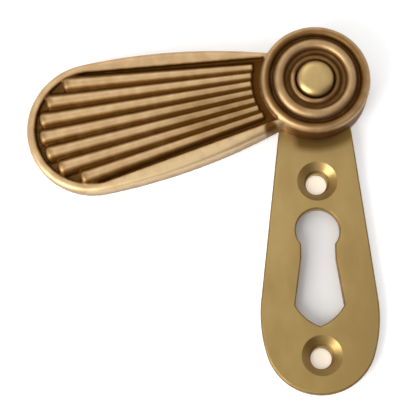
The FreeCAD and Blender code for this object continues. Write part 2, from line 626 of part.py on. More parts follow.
def build_rivet(doc):
    """Pivot rivet: knob head in the boss, shank, and tail peened flush with the back."""
    body = add_body(doc, "pivot_rivet")
    sketch = add_sketch(body, "rivet_section", role="XZ_Plane")
    shank = size("rivet_shank_radius")
    tail = size("rivet_tail_radius")
    under = amount(HEAD_SEAT)
    top = under + size("rivet_head_height")
    head = size("rivet_head_radius")
    edge = size("rivet_head_round")
    edge_centre = (head - edge, top - edge)
    corners = [(0, 0), (tail, 0), (shank, size("rivet_tail_depth")), (shank, under), (head, under)]
    first = len(corners)
    corners += chord_points(edge_centre, edge, 90, KNOB_FLATS)
    corners.append((0, top))
    lines = draw_polygon(sketch, corners)
    constrain(sketch, "Coincident", lines[0], START, ROOT, START)
    for number in (lines[0], lines[3], lines[-2]):
        constrain(sketch, "Horizontal", number)
    for number in (lines[2], lines[4], lines[-1]):
        constrain(sketch, "Vertical", number)
    chords = lines[first:first + KNOB_FLATS]
    circle = hold_chords(sketch, chords, edge_centre, edge)
    constrain(sketch, "Vertical", chords[-1], END, circle, CENTRE)
    bind(sketch, "tail_radius", "sizes.rivet_tail_radius", "DistanceX", ROOT, START, lines[0], END)
    bind(sketch, "shank_radius", "sizes.rivet_shank_radius", "DistanceX", ROOT, START, lines[1], END)
    bind(sketch, "tail_depth", "sizes.rivet_tail_depth", "DistanceY", ROOT, START, lines[1], END)
    bind(sketch, "head_seat", HEAD_SEAT, "DistanceY", ROOT, START, lines[2], END)
    bind(sketch, "head_radius", "sizes.rivet_head_radius", "DistanceX", ROOT, START, lines[3], END)
    bind(sketch, "head_top", f"{HEAD_SEAT} + sizes.rivet_head_height",
         "DistanceY", ROOT, START, lines[-2], END)
    bind(sketch, "head_round", "sizes.rivet_head_round", "Radius", circle)
    turned = body.newObject("PartDesign::Revolution", "rivet_blank")
    turned.Profile = sketch
    turned.ReferenceAxis = (sketch, ["V_Axis"])
    turned.Angle = 360
    body.Tip = turned
    body.Placement = STANDING
    return body


def check(doc, bodies):
    """Stop before anything is written if an object failed or a piece isn't one valid solid."""
    for item in doc.Objects:
        if "Invalid" in item.State or "Error" in item.State:
            raise RuntimeError(f"{item.Label} failed: {item.State}")
    for body in bodies:
        shape = body.Shape
        if shape.isNull() or not shape.isValid() or len(shape.Solids) != 1:
            raise RuntimeError(f"{body.Label} is not one valid solid")


def main():
    doc = FreeCAD.newDocument("escutcheon")
    add_sheet(doc)
    bodies = [build_backplate(doc), build_cover(doc), build_rivet(doc)]
    doc.recompute()
    check(doc, bodies)
    os.makedirs("parts", exist_ok=True)
    for body in bodies:
        body.Shape.exportStep(f"parts/{body.Label}.step")
        print(body.Label, "volume", round(body.Shape.Volume, 2), "box", body.Shape.BoundBox)


main()
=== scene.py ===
import math
import bpy
from mathutils import Matrix, Vector


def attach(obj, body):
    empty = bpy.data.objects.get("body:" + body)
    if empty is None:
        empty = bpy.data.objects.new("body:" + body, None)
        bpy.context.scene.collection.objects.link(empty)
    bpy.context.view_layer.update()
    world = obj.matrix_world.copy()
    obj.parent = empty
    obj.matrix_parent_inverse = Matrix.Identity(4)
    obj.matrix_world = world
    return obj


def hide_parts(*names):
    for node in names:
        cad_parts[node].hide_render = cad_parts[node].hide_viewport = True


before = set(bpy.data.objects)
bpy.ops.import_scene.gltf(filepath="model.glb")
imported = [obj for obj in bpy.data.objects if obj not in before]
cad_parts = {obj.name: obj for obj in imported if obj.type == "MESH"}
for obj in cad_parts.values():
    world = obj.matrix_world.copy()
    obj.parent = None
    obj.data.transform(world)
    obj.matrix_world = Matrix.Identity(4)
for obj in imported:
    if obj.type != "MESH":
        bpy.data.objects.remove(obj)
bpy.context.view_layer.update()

# Keyhole escutcheon: drop-shaped brass plate, reeded swing cover and the knob of its rivet.
# Each piece is modelled lying on its back in millimetres, front towards +Z and tip towards -Y,
# and is stood up and brought to metres when it is finished.
MM = 0.001

# Plate
PLATE_THICKNESS = 2.2
PLATE_HEAD_RADIUS = 10.5
PLATE_NECK_HALF = 6.9
PLATE_SHOULDER_RADIUS = 26.0
PLATE_SHOULDER_RISE = 4.5
PLATE_END_RADIUS = 10.5
PLATE_END_DROP = 49.0
PLATE_EDGE_ROUND = 0.4
SCREW_DROPS = (19.1, 52.6)
SCREW_HOLE_RADIUS = 2.0
COUNTERSINK_RADIUS = 3.85
# Way from a screw hole's middle to its countersink's, and radius of the countersink's foot
COUNTERSINK_SHIFT = (0.15, 0.35)
COUNTERSINK_FOOT = 2.45
KEYHOLE_DROP = 28.3
KEYHOLE_HEAD_RADIUS = 4.15
KEYHOLE_WAIST_HALF = 3.25
KEYHOLE_WAIST_DROP = 5.4
KEYHOLE_SKIRT_HALF = 4.6
KEYHOLE_SKIRT_DROP = 14.4
KEYHOLE_FOOT_DROP = 18.4
KEYHOLE_FOOT_BULGE = 0.55

# Cover
COVER_LIFT = 2.35
SWING_ANGLE = 79.0
COVER_HEAD_RADIUS = 8.67
COVER_NECK_HALF = 6.5
COVER_END_RADIUS = 12.85
COVER_END_DROP = 43.55
COVER_HEIGHT = 5.8
COVER_SLOPE = 3.2
COVER_EDGE_ROUND = 1.0
COVER_WALL = 1.6
COVER_WEB = 0.9
FIELD_DEPTH = 0.9
FIELD_RIM = 1.8
FIELD_HALF_ANGLE = 7.95
FIELD_APEX_RISE = 36.0
FAN_APEX_RISE = 27.0
REED_COUNT = 7
REED_STEP = 2.42
REED_FULLNESS = 1.12
REED_START_RADIUS = 12.1
REED_END_RADIUS = 10.35
# How far a reed's nose stands out, as a share of its radius
REED_NOSE = 0.55
BOSS_RADIUS = 10.55
BOSS_SEAT_RADIUS = 9.61
BOSS_BASE = 4.7
MOAT_RADIUS = 3.75
RIVET_SEAT = 3.8
# Mesh of the finished cover: voxel, passes of smoothing and share of the faces kept
COVER_VOXEL = 0.17
COVER_SMOOTHING = 6
COVER_FACES_KEPT = 0.5
# Turn for the remesh, so that no long edge runs nearly along its grid
REMESH_TURN = 40.0
# Each ring of the boss: middle radius, half width and height above the base
RINGS = ((9.61, 0.94, 1.2), (6.95, 1.14, 1.6), (4.35, 0.6, 0.75))
# Tarnish between the rings, by radius. The painted shadow in the corner where the lower rim meets the
# boss is placed below.
RING_TARNISH = ((3.4, 0.9), (3.8, 0.5), (4.1, 0.0), (4.8, 0.2), (5.2, 0.7), (5.9, 0.5), (6.4, 0.05),
                (7.9, 0.05), (8.3, 0.75), (8.65, 0.7), (9.3, 0.45), (10.0, 0.05), (11.0, 0.0))
# Way to the lower left of the boss, where the lamps stand, seen on the cover as it hangs aside; the
# boss's painted shade is laid by it
LAMP_SIDE = (0.56, -0.83)
# Middle of the painted shadow in the corner where the lower rim meets the boss
CORNER_SHADE_PLACE = (7.6, -10.3)

# Rivet
BORE_RADIUS = 2.05
SHANK_RADIUS = 2.0
TAIL_RADIUS = 2.7
TAIL_DEPTH = 0.6
KNOB_RADIUS = 3.55
KNOB_UNDER = 6.2
KNOB_TOP = 9.0
# Fall of the knob's edge, by the way in from its side: nearly upright, then a wide soft slope
KNOB_FALL = ((0.0, 1.3), (0.03, 1.0), (0.14, 0.76), (0.42, 0.48), (0.8, 0.24), (1.2, 0.09), (1.7, 0.03))

STANDING = Matrix.Rotation(math.radians(90), 4, "X")
SWUNG = Matrix.Translation((0, 0, COVER_LIFT)) @ Matrix.Rotation(math.radians(-SWING_ANGLE), 4, "Z")


def only(*objects):
    """Select these objects and nothing else, the last one active."""
    if bpy.context.mode != "OBJECT":
        bpy.ops.object.mode_set(mode="OBJECT")
    bpy.ops.object.select_all(action="DESELECT")
    for item in objects:
        item.select_set(True)
    bpy.context.view_layer.objects.active = objects[-1]


def apply_modifier(piece, kind, **settings):
    """Put one modifier on a piece and apply it."""
    only(piece)
    modifier = piece.modifiers.new(kind.title(), kind)
    for name, value in settings.items():
        setattr(modifier, name, value)
    bpy.ops.object.modifier_apply(modifier=modifier.name)


def place(piece, matrix):
    """Move a piece and bring the move into its mesh."""
    only(piece)
    piece.matrix_world = matrix
    bpy.ops.object.transform_apply(location=True, rotation=True, scale=True)


def close_up(piece, distance=0.0005):
    """Merge doubles and turn all faces outwards."""
    only(piece)
    bpy.ops.object.mode_set(mode="EDIT")
    bpy.ops.mesh.select_all(action="SELECT")
    bpy.ops.mesh.remove_doubles(threshold=distance)
    bpy.ops.mesh.normals_make_consistent(inside=False)
    bpy.ops.object.mode_set(mode="OBJECT")


def cut_flat(piece, point, normal):
    """Cut a piece on a plane, drop what lies behind it and close the cut."""
    only(piece)
    bpy.ops.object.mode_set(mode="EDIT")
    bpy.ops.mesh.select_all(action="SELECT")
    bpy.ops.mesh.bisect(plane_co=point, plane_no=normal, use_fill=True, clear_inner=True)
    bpy.ops.object.mode_set(mode="OBJECT")


def cut_out(piece, cutter):
    """Cut one solid out of another and drop the cutter."""
    apply_modifier(piece, "BOOLEAN", operation="DIFFERENCE", solver="EXACT", object=cutter)
    bpy.data.objects.remove(cutter)


def arc_points(centre, radius, first, last, count):
    """Points along an arc, between two angles in degrees."""
    turns = [math.radians(first + (last - first) * i / count) for i in range(count + 1)]
    return [(centre[0] + radius * math.cos(t), centre[1] + radius * math.sin(t)) for t in turns]


def angle_to(centre, point):
    """Direction from one point to another, in degrees."""
    return math.degrees(math.atan2(point[1] - centre[1], point[0] - centre[0]))


def both_sides(right):
    """Close an outline that is given from its head down its right side to its tip."""
    left = [(-x, y) for x, y in reversed(right) if abs(x) > 1e-6]
    return right + left


def slab(name, outlines, low, high, rounding=0.0):
    """Flat solid inside a closed outline, with holes, its edges rounded inwards."""
    curve = bpy.data.curves.new(name, "CURVE")
    curve.dimensions = "2D"
    curve.fill_mode = "BOTH"
    curve.extrude = (high - low) / 2 - rounding
    curve.bevel_depth = rounding
    curve.bevel_resolution = 4
    curve.offset = -rounding
    for outline in outlines:
        spline = curve.splines.new("POLY")
        spline.points.add(len(outline) - 1)
        for point, (x, y) in zip(spline.points, outline):
            point.co = (x, y, 0, 1)
        spline.use_cyclic_u = True
    flat = bpy.data.objects.new(name, curve)
    bpy.context.collection.objects.link(flat)
    only(flat)
    bpy.ops.object.convert(target="MESH")
    piece = bpy.context.object
    place(piece, Matrix.Translation((0, 0, (high + low) / 2)))
    close_up(piece)
    return piece


def lathe(name, section, steps=160):
    """Turn a closed section, given as radius and height, about the Z axis."""
    mesh = bpy.data.meshes.new(name)
    count = len(section)
    edges = [(i, (i + 1) % count) for i in range(count)]
    mesh.from_pydata([(r, 0, z) for r, z in section], edges, [])
    piece = bpy.data.objects.new(name, mesh)
    bpy.context.collection.objects.link(piece)
    only(piece)
    bpy.ops.object.mode_set(mode="EDIT")
    bpy.ops.mesh.select_all(action="SELECT")
    bpy.ops.mesh.spin(steps=steps, angle=2 * math.pi, center=(0, 0, 0), axis=(0, 0, 1))
    bpy.ops.object.mode_set(mode="OBJECT")
    close_up(piece)
    return piece


def plate_outline():
    """Right side of the plate: head, straight flank, shoulder and end, all tangent."""
    end_centre = (0.0, -PLATE_END_DROP)
    inward = math.sqrt((PLATE_SHOULDER_RADIUS - PLATE_END_RADIUS) ** 2 - PLATE_SHOULDER_RISE ** 2)
    shoulder = (-inward, -PLATE_END_DROP + PLATE_SHOULDER_RISE)
    neck = (PLATE_NECK_HALF, -math.sqrt(PLATE_HEAD_RADIUS ** 2 - PLATE_NECK_HALF ** 2))
    reach = math.dist(neck, shoulder)
    touch_angle = angle_to(shoulder, neck) - math.degrees(math.acos(PLATE_SHOULDER_RADIUS / reach))
    join_angle = angle_to(shoulder, end_centre)
    right = arc_points((0, 0), PLATE_HEAD_RADIUS, 90, angle_to((0, 0), neck), 60)
    right += arc_points(shoulder, PLATE_SHOULDER_RADIUS, touch_angle, join_angle, 30)
    right += arc_points(end_centre, PLATE_END_RADIUS, join_angle, -90, 40)[1:]
    return both_sides(right)


def keyhole_outline():
    """Right side of the keyhole: round head, waist, flared skirt and pointed foot."""
    centre = (0.0, -KEYHOLE_DROP)
    waist_rise = math.sqrt(KEYHOLE_HEAD_RADIUS ** 2 - KEYHOLE_WAIST_HALF ** 2)
    neck = (KEYHOLE_WAIST_HALF, -KEYHOLE_DROP - waist_rise)
    right = arc_points(centre, KEYHOLE_HEAD_RADIUS, 90, angle_to(centre, neck), 30)
    right.append((KEYHOLE_WAIST_HALF, -KEYHOLE_DROP - KEYHOLE_WAIST_DROP))
    skirt = Vector((KEYHOLE_SKIRT_HALF, -KEYHOLE_DROP - KEYHOLE_SKIRT_DROP))
    foot = Vector((0, -KEYHOLE_DROP - KEYHOLE_FOOT_DROP))
    outward = Vector((skirt.y - foot.y, -(skirt.x - foot.x))).normalized()
    for i in range(11):
        share = i / 10
        bulge = KEYHOLE_FOOT_BULGE * 4 * share * (1 - share)
        right.append(tuple(skirt.lerp(foot, share) + outward * bulge))
    return both_sides(right)


def cover_outline(inset=0.0):
    """Right side of the cover, or of the same shape further in: head, long flank arc and end."""
    head_radius = COVER_HEAD_RADIUS - inset
    neck_x = COVER_NECK_HALF - inset
    neck = (neck_x, -math.sqrt(head_radius ** 2 - neck_x ** 2))
    widest = (COVER_END_RADIUS - inset, -COVER_END_DROP)
    across = (widest[0] - neck[0], widest[1] - neck[1])
    flank_radius = (across[0] ** 2 + across[1] ** 2) / (2 * across[0])
    flank_centre = (widest[0] - flank_radius, -COVER_END_DROP)
    right = arc_points((0, 0), head_radius, 90, angle_to((0, 0), neck), 40)
    right += arc_points(flank_centre, flank_radius, angle_to(flank_centre, neck), 0, 40)[1:]
    right += arc_points((0, -COVER_END_DROP), widest[0], 0, -90, 50)[1:]
    return both_sides(right)


def ray_reach(apex_rise, angle, drop, radius):
    """Way along a ray from an apex above the boss to a circle on the cover's axis."""
    rise = apex_rise + drop
    return rise * math.cos(angle) + math.sqrt(radius ** 2 - (rise * math.sin(angle)) ** 2)


def field_outline():
    """Right side of the sunk sector that the reeds fill."""
    half = math.radians(FIELD_HALF_ANGLE)
    start = (math.tan(half) * (FIELD_APEX_RISE + COVER_HEAD_RADIUS), -COVER_HEAD_RADIUS)
    reach = ray_reach(FIELD_APEX_RISE, half, COVER_END_DROP, COVER_END_RADIUS - FIELD_RIM)
    corner = (math.sin(half) * reach, FIELD_APEX_RISE - math.cos(half) * reach)
    end_centre = (0, -COVER_END_DROP)
    right = [(0, -COVER_HEAD_RADIUS), start]
    right += arc_points(end_centre, COVER_END_RADIUS - FIELD_RIM, angle_to(end_centre, corner), -90, 50)
    return both_sides(right)


def sloped(depth=0.0):
    """Plane of the cover's sloping front, or one at a depth below it."""
    tilt = Matrix.Rotation(math.radians(COVER_SLOPE), 4, "X")
    return Matrix.Translation((0, 0, COVER_HEIGHT - depth)) @ tilt


def make_reed(index):
    """One reed: half a cone with a blunt nose, along its own ray of the fan."""
    step = index - (REED_COUNT - 1) / 2
    turn = math.radians(step * REED_STEP)
    widening = REED_FULLNESS * math.tan(math.radians(REED_STEP)) / 2
    near = ray_reach(FAN_APEX_RISE, turn, 0, REED_START_RADIUS)
    far = ray_reach(FAN_APEX_RISE, turn, COVER_END_DROP, REED_END_RADIUS)
    nose = far * widening / (1 + REED_NOSE * widening)
    length = far - REED_NOSE * nose - near
    bpy.ops.mesh.primitive_cone_add(
        vertices=64, radius1=near * widening, radius2=nose, depth=length,
        location=(0, -near - length / 2, 0), rotation=(math.radians(90), 0, 0))
    body = bpy.context.object
    bpy.ops.mesh.primitive_uv_sphere_add(
        segments=48, ring_count=24, radius=nose, location=(0, REED_NOSE * nose - far, 0))
    bpy.context.object.scale = (1, REED_NOSE, 1)
    only(bpy.context.object, body)
    bpy.ops.object.transform_apply(location=True, rotation=True, scale=True)
    cone, ball = body, [o for o in bpy.context.selected_objects if o != body][0]
    for part in (cone, ball):
        cut_flat(part, (0, 0, -0.35), (0, 0, 1))
    only(ball, cone)
    bpy.ops.object.join()
    fan = Matrix.Translation((0, FAN_APEX_RISE, 0)) @ Matrix.Rotation(turn, 4, "Z")
    place(cone, sloped(FIELD_DEPTH) @ fan)
    return cone


def ring_arc(radius, half):
    """Half a ring's section, from its outer foot to its inner one: radius and share of its height."""
    turns = [math.pi * i / 20 for i in range(21)]
    return [(radius + half * math.cos(t), math.sin(t)) for t in turns]


def boss_section():
    """Section of the ringed boss: bore, well for the knob and three rings."""
    section = [(BORE_RADIUS, RIVET_SEAT), (BORE_RADIUS, 0), (BOSS_RADIUS, 0)]
    for radius, half, height in RINGS:
        section += [(x, BOSS_BASE + y * height) for x, y in ring_arc(radius, half)]
    section.append((MOAT_RADIUS, RIVET_SEAT))
    return section


def screw_hole_section():
    """Section of a screw's hole, standing through the plate."""
    top = PLATE_THICKNESS + 1
    return [(0, -1), (SCREW_HOLE_RADIUS, -1), (SCREW_HOLE_RADIUS, top), (0, top)]


def countersink_section():
    """Section of a countersink, a little off its hole, as it was cut by hand."""
    depth = COUNTERSINK_RADIUS - SCREW_HOLE_RADIUS
    return [(0, PLATE_THICKNESS - depth), (SCREW_HOLE_RADIUS, PLATE_THICKNESS - depth),
            (COUNTERSINK_FOOT, PLATE_THICKNESS - COUNTERSINK_RADIUS + COUNTERSINK_FOOT),
            (COUNTERSINK_RADIUS, PLATE_THICKNESS), (COUNTERSINK_RADIUS + 1, PLATE_THICKNESS + 1),
            (0, PLATE_THICKNESS + 1)]


def ramp(value, low, high):
    """Smooth step from 0 at low to 1 at high."""
    share = min(max((value - low) / (high - low), 0.0), 1.0)
    return share * share * (3 - 2 * share)


def ring_tarnish(radius):
    """Tarnish left between the rings of the boss."""
    for (near, low), (far, high) in zip(RING_TARNISH, RING_TARNISH[1:]):
        if near <= radius < far:
            return low + (high - low) * ramp(radius, near, far)
    return 0.0


def reed_tarnish_and_shade(x, y):
    """Tarnish left in the valleys of the fan and round the ends of its reeds, with painted shade near
    each reed's end that dims the highlight on its nose.
    """
    fan_rise = FAN_APEX_RISE - y
    turn = math.degrees(math.atan2(x, fan_rise)) / REED_STEP
    last = (REED_COUNT - 1) / 2
    nearest = min(max(round(turn), -last), last)
    angle = math.radians(nearest * REED_STEP)
    reach = math.hypot(x, fan_rise)
    near = ray_reach(FAN_APEX_RISE, angle, 0, REED_START_RADIUS)
    far = ray_reach(FAN_APEX_RISE, angle, COVER_END_DROP, REED_END_RADIUS)
    valley = ramp(2 * abs(turn - nearest), 0.22, 0.85)
    start = ramp(near + 0.5 - reach, 0.0, 0.5)
    foot = ramp(math.hypot(x, y), BOSS_RADIUS, BOSS_RADIUS + 0.15)
    # Painted shade near a reed's end that dims the highlight on its nose, then tarnish round the end
    # itself
    nose = 0.32 * ramp(reach - far, -1.9, -1.0) + 0.53 * ramp(reach - far, -0.5, 0.2)
    side = (FIELD_APEX_RISE - y) * math.tan(math.radians(FIELD_HALF_ANGLE)) - abs(x)
    rim = COVER_END_RADIUS - FIELD_RIM - math.hypot(x, min(y + COVER_END_DROP, 0.0))
    return max(valley, start, nose) * ramp(min(side, rim), -0.45, 0.05) * foot


def boss_tarnish_and_shade(x, y, z):
    """Tarnish of the boss between its rings, painted shade in its well away from the lamps' side and a
    little on the rings' lit side, and darker on its wall where the fan doesn't meet it."""
    radius = math.hypot(x, y)
    wall = ramp(radius, BOSS_RADIUS - 0.5, BOSS_RADIUS - 0.1)
    wall *= 1 - ramp(z, BOSS_BASE - 0.4, BOSS_BASE + 0.5)
    wall *= 1 - ramp(-y / max(radius, 1.0), 0.5, 0.8)
    # How far a point lies towards the lamps' side
    worn = (x * LAMP_SIDE[0] + y * LAMP_SIDE[1]) / max(radius, 1.0)
    # Painted shade in the well, on the side away from the lamps
    well = 0.6 * (1 - ramp(worn, 0.2, 0.8)) * ramp(radius, 5.8, 5.2)
    # Tarnish between the rings, with a little painted shade on their lit side that dims their highlight
    rings = ring_tarnish(radius) + 0.1 + 0.04 * ramp(worn, 0.2, 1.0)
    return max(rings, well, 0.85 * wall)


def fan_tarnish_light_and_shade(x, y):
    """Tarnish of the fan and of the rim round it, with painted shade near the boss and in the corner
    where the lower rim meets it, and painted light that makes the rim's lower side paler."""
    edge = (FIELD_APEX_RISE - y) * math.tan(math.radians(FIELD_HALF_ANGLE))
    if x > edge:
        # Painted shadow in the corner where the lower rim meets the boss
        corner = 1 - ramp(math.hypot(x - CORNER_SHADE_PLACE[0], y - CORNER_SHADE_PLACE[1]), 0.7, 1.6)
        # Painted light that makes the lower rim paler, except near the tip
        lower_rim_light = 0.18 * ramp(x - edge, 0.1, 0.8) * ramp(y, -50.0, -44.0)
        return max(reed_tarnish_and_shade(x, y), 0.95 * corner) - lower_rim_light
    # Painted shade on a patch of the fan near the boss, deepening its valleys there
    shaded_patch = 1 - ramp(math.hypot(x - 2.6, (y + 20) / 1.8), 2.0, 7.0)
    valley = reed_tarnish_and_shade(x, y)
    return max(valley * (0.92 + 0.3 * shaded_patch), 0.24 * shaded_patch)


def mark_tarnish_and_shade(piece):
    """Keep on each vertex of the cover how tarnished it is, together with its painted shade and painted
    light, from 0 on its palest brass to 1.
    """
    tarnish_and_shade = piece.data.attributes.new("tarnish_and_shade", "FLOAT", "POINT")
    for vertex, item in zip(piece.data.vertices, tarnish_and_shade.data):
        x, y, z = vertex.co
        if math.hypot(x, y) < BOSS_RADIUS + 0.1:
            item.value = 0.15 + 0.85 * boss_tarnish_and_shade(x, y, z)
        elif z > 1.0:
            item.value = 0.15 + 0.85 * fan_tarnish_light_and_shade(x, y)
        else:
            item.value = 0.3


# Plate
plate = slab("plate", [plate_outline(), keyhole_outline()], 0.0, PLATE_THICKNESS, PLATE_EDGE_ROUND)
for drop in SCREW_DROPS:
    cutter = lathe("screw_cutter", screw_hole_section(), 64)
    place(cutter, Matrix.Translation((0, -drop, 0)))
    cut_out(plate, cutter)
    worn = lathe("countersink_cutter", countersink_section(), 64)
    place(worn, Matrix.Translation((COUNTERSINK_SHIFT[0], COUNTERSINK_SHIFT[1] - drop, 0)))
    cut_out(plate, worn)
tail_cutter = [(0, -1), (TAIL_RADIUS + 1, -1), (SHANK_RADIUS, TAIL_DEPTH),
               (SHANK_RADIUS, PLATE_THICKNESS + 1), (0, PLATE_THICKNESS + 1)]
cut_out(plate, lathe("tail_cutter", tail_cutter, 64))
place(plate, Matrix.Scale(MM, 4) @ STANDING)

# Cover
cover = slab("cover", [cover_outline()], -3 * COVER_HEIGHT, 0.0, COVER_EDGE_ROUND)
place(cover, sloped())
cut_flat(cover, (0, 0, 0), (0, 0, 1))
field = slab("field_cutter", [field_outline()], -FIELD_DEPTH, 3.0)
place(field, sloped())
cut_out(cover, field)
hollow = slab("hollow_cutter", [cover_outline(COVER_WALL)], -3 * COVER_HEIGHT, 0.0)
place(hollow, sloped(FIELD_DEPTH + COVER_WEB))
cut_out(cover, hollow)
seat_section = [(0, -1), (BOSS_SEAT_RADIUS, -1), (BOSS_SEAT_RADIUS, 9), (0, 9)]
cut_out(cover, lathe("seat_cutter", seat_section, 96))
reeds = [make_reed(index) for index in range(REED_COUNT)]
boss = lathe("boss", boss_section())
only(boss, *reeds, cover)
bpy.ops.object.join()
askew = Matrix.Rotation(math.radians(REMESH_TURN), 4, "Z")
place(cover, askew)
apply_modifier(cover, "REMESH", mode="VOXEL", voxel_size=COVER_VOXEL)
apply_modifier(cover, "SMOOTH", factor=0.5, iterations=COVER_SMOOTHING)
apply_modifier(cover, "DECIMATE", ratio=COVER_FACES_KEPT)
place(cover, askew.inverted())
mark_tarnish_and_shade(cover)
place(cover, Matrix.Scale(MM, 4) @ STANDING @ SWUNG)

# Rivet
knob_edge = [(KNOB_RADIUS - inset, KNOB_TOP - drop) for inset, drop in KNOB_FALL]
rivet_section = [(0, 0), (TAIL_RADIUS, 0), (SHANK_RADIUS, TAIL_DEPTH), (SHANK_RADIUS, KNOB_UNDER),
                 (KNOB_RADIUS, KNOB_UNDER)] + knob_edge + [(0.8, KNOB_TOP - 0.005), (0, KNOB_TOP)]
rivet = lathe("rivet", rivet_section)
place(rivet, Matrix.Scale(MM, 4) @ STANDING)


# Materials
PLATE_TONE = (0.315, 0.212, 0.076)
# Lighter, warmer tone that the painted light and the mottle move the plate towards
PLATE_LIT_TONE = (0.459, 0.319, 0.132)
# Colour of the painted shade on the plate just below the boss
BOSS_SHADE_TONE = (0.178, 0.098, 0.025)
EDGE_SHADE_TONE = (0.187, 0.111, 0.034)
EDGE_SHADE_PALE_TONE = (0.255, 0.162, 0.06)
PALE_TONE = (0.578, 0.425, 0.234)
CREST_TONE = (0.451, 0.302, 0.157)
FLANK_TONE = (0.23, 0.128, 0.047)
VALLEY_TONE = (0.089, 0.034, 0.005)
KNOB_TONE = (0.416, 0.289, 0.119)
KNOB_PALE_TONE = (0.484, 0.34, 0.149)


def node(tree, kind, **settings):
    """New node, its settings given by the names of its properties or inputs."""
    made = tree.nodes.new(f"ShaderNode{kind}")
    for name, value in settings.items():
        if hasattr(made, name):
            setattr(made, name, value)
        else:
            made.inputs[name.replace("_", " ")].default_value = value
    return made


def brass(name, colour, roughness):
    """Plain start of a brass: metal with its colour and polish."""
    material = bpy.data.materials.new(name)
    material.use_nodes = True
    shader = material.node_tree.nodes["Principled BSDF"]
    shader.inputs["Metallic"].default_value = 1.0
    shader.inputs["Base Color"].default_value = (*colour, 1)
    shader.inputs["Roughness"].default_value = roughness
    return material, material.node_tree, shader


def join(tree, source, target, name):
    """Link a node's first output to a named input of another."""
    tree.links.new(source.outputs[0], target.inputs[name])


def millimetres(tree, scale=(1, 1, 1)):
    """Object coordinates in millimetres, stretched for a pattern."""
    coordinates = node(tree, "TexCoord")
    mapping = node(tree, "Mapping")
    mapping.inputs["Scale"].default_value = tuple(s / MM for s in scale)
    tree.links.new(coordinates.outputs["Object"], mapping.inputs["Vector"])
    return mapping


def noise(tree, scale=(1, 1, 1), detail=3.0):
    """Noise with about one blotch to a millimetre, stretched by the scale."""
    texture = node(tree, "TexNoise", Scale=1.0, Detail=detail)
    join(tree, millimetres(tree, scale), texture, "Vector")
    return texture


def spread(tree, source, low, high, first=0.0, last=1.0):
    """Bring a value from one range to another and stop at its ends."""
    made = node(tree, "MapRange", From_Min=low, From_Max=high, To_Min=first, To_Max=last)
    join(tree, source, made, "Value")
    return made


def sums(tree, operation, first, second):
    """Sum, product or the like of two nodes, or of a node and a number."""
    made = node(tree, "Math", operation=operation)
    for socket, part in zip(made.inputs, (first, second)):
        if isinstance(part, float):
            socket.default_value = part
        else:
            tree.links.new(part.outputs[0], socket)
    return made


def tones(tree, source, *stops):
    """Colours along a value, each stop a place and a colour."""
    made = node(tree, "ValToRGB")
    ramp_stops = made.color_ramp.elements
    while len(ramp_stops) < len(stops):
        ramp_stops.new(0.5)
    for stop, (place_on_ramp, colour) in zip(ramp_stops, stops):
        stop.position = place_on_ramp
        stop.color = (*colour, 1)
    join(tree, source, made, "Fac")
    return made


def roughen(tree, shader, source, distance_mm):
    """Fine unevenness of the surface."""
    bump = node(tree, "Bump", Strength=1.0, Distance=distance_mm * MM)
    join(tree, source, bump, "Height")
    join(tree, bump, shader, "Normal")


# Plate: dull yellow brass, brushed along its length, with painted light and shade that make it lighter
# and warmer towards the top left and darker towards the bottom, and painted shade on the plate just
# below the boss
satin, tree, shader = brass("satin_brass_plate", PLATE_TONE, 0.4)
blotches = noise(tree, (0.22, 0.22, 0.12))
streaks = noise(tree, (5.0, 5.0, 0.25), 4.0)
across = node(tree, "SeparateXYZ")
join(tree, millimetres(tree), across, "Vector")
# Painted light and shade: lighter towards the left and the top of the plate, darker towards its bottom
leftward = sums(tree, "MULTIPLY", across, -0.012)
upward = node(tree, "Math", operation="MULTIPLY")
upward.inputs[1].default_value = 0.011
tree.links.new(across.outputs["Z"], upward.inputs[0])
mottle_and_painted_light = sums(tree, "ADD", leftward, upward)
mottle_and_painted_light = sums(tree, "ADD", mottle_and_painted_light, 0.62)
mottle = spread(tree, blotches, 0.3, 0.7, -0.16, 0.16)
grain = spread(tree, streaks, 0.3, 0.7, -0.05, 0.05)
mottle_and_painted_light = sums(tree, "ADD", mottle_and_painted_light, mottle)
mottle_and_painted_light = sums(tree, "ADD", mottle_and_painted_light, grain)
base = tones(tree, mottle_and_painted_light, (0.0, PLATE_TONE), (1.0, PLATE_LIT_TONE))
flattened = millimetres(tree, (1, 0, 1))
from_pivot = node(tree, "VectorMath", operation="LENGTH")
join(tree, flattened, from_pivot, "Vector")
# Painted shade on the plate's front just below the boss, fading out to its left
near_boss = node(tree, "MapRange", From_Min=12.0, From_Max=13.4, To_Min=1.0, To_Max=0.0)
tree.links.new(from_pivot.outputs["Value"], near_boss.inputs["Value"])
right_part = spread(tree, across, -4.6, -3.0)
shade = sums(tree, "MULTIPLY", near_boss, right_part)
shade = sums(tree, "MULTIPLY", shade, 0.92)
front_only = node(tree, "MapRange", From_Min=-1.5, From_Max=-0.5, To_Min=1.0, To_Max=0.0)
tree.links.new(across.outputs["Y"], front_only.inputs["Value"])
shade = sums(tree, "MULTIPLY", shade, front_only)
darkened = node(tree, "MixRGB")
join(tree, shade, darkened, "Fac")
join(tree, base, darkened, "Color1")
darkened.inputs["Color2"].default_value = (*BOSS_SHADE_TONE, 1)
join(tree, darkened, shader, "Base Color")
join(tree, spread(tree, blotches, 0.3, 0.7, 0.36, 0.48), shader, "Roughness")
roughen(tree, shader, streaks, 0.004)

# Sides of the plate and of its holes: painted shade, a mottled dark brown, and rougher
dull, tree, shader = brass("shaded_brass_edge", EDGE_SHADE_TONE, 0.55)
base = tones(tree, noise(tree, (0.8, 0.8, 0.8)), (0.3, EDGE_SHADE_TONE), (0.7, EDGE_SHADE_PALE_TONE))
join(tree, base, shader, "Base Color")

